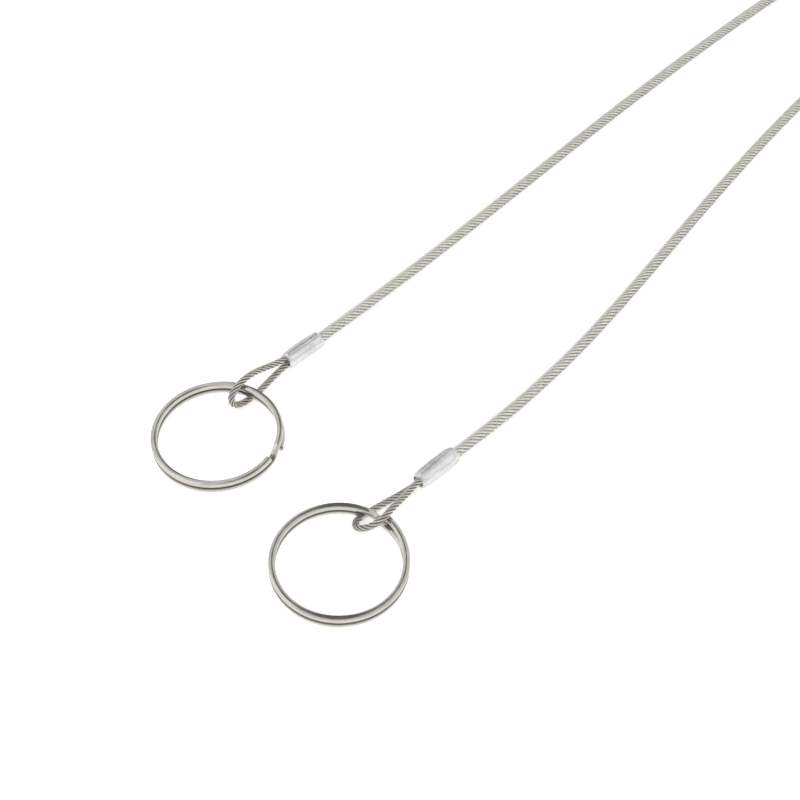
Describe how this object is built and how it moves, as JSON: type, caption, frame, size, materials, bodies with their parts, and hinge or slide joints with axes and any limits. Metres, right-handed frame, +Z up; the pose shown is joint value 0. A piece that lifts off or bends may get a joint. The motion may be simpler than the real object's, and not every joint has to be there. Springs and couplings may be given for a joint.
{
  "type": "coated wire rope lanyard",
  "caption": "Clear-coated thin wire rope lanyard: a pressed sleeve closes a small soft eye at each end, and a split key ring hangs in each eye.",
  "frame": {"origin": "on the surface the lanyard lies on, under the middle of the rings, sleeves and eyes", "axes": "+Z up from the surface, +Y from the rings towards the far bend of the cable, +X from ring A to ring B"},
  "size_m": [0.0727, 0.2662, 0.0062],
  "materials": {
    "clear_coat": "clear smooth plastic",
    "wire_rope": "stranded stainless wire",
    "sleeve": "satin, pressed",
    "ring_steel": "polished"
  },
  "bodies": {
    "cable": {"cable_coat": "clear_coat", "rope_core": "wire_rope", "rope_eye_a": "wire_rope", "rope_eye_b": "wire_rope", "ferrule_a": "sleeve", "ferrule_b": "sleeve"},
    "ring_a": {"key_ring_a": "ring_steel"},
    "ring_b": {"key_ring_b": "ring_steel"}
  },
  "joints": [
    {"name": "ring_a_swing", "type": "hinge", "parent": "cable", "child": "ring_a", "pos_m": [-0.02617, 0.00435, 0.0031], "axis": [-0.9273, -0.3741, -0.008], "range_deg": [0, 150]},
    {"name": "ring_b_swing", "type": "hinge", "parent": "cable", "child": "ring_b", "pos_m": [0.01798, -0.00026, 0.00287], "axis": [-0.9641, -0.26, 0.054], "range_deg": [0, 150]}
  ]
}
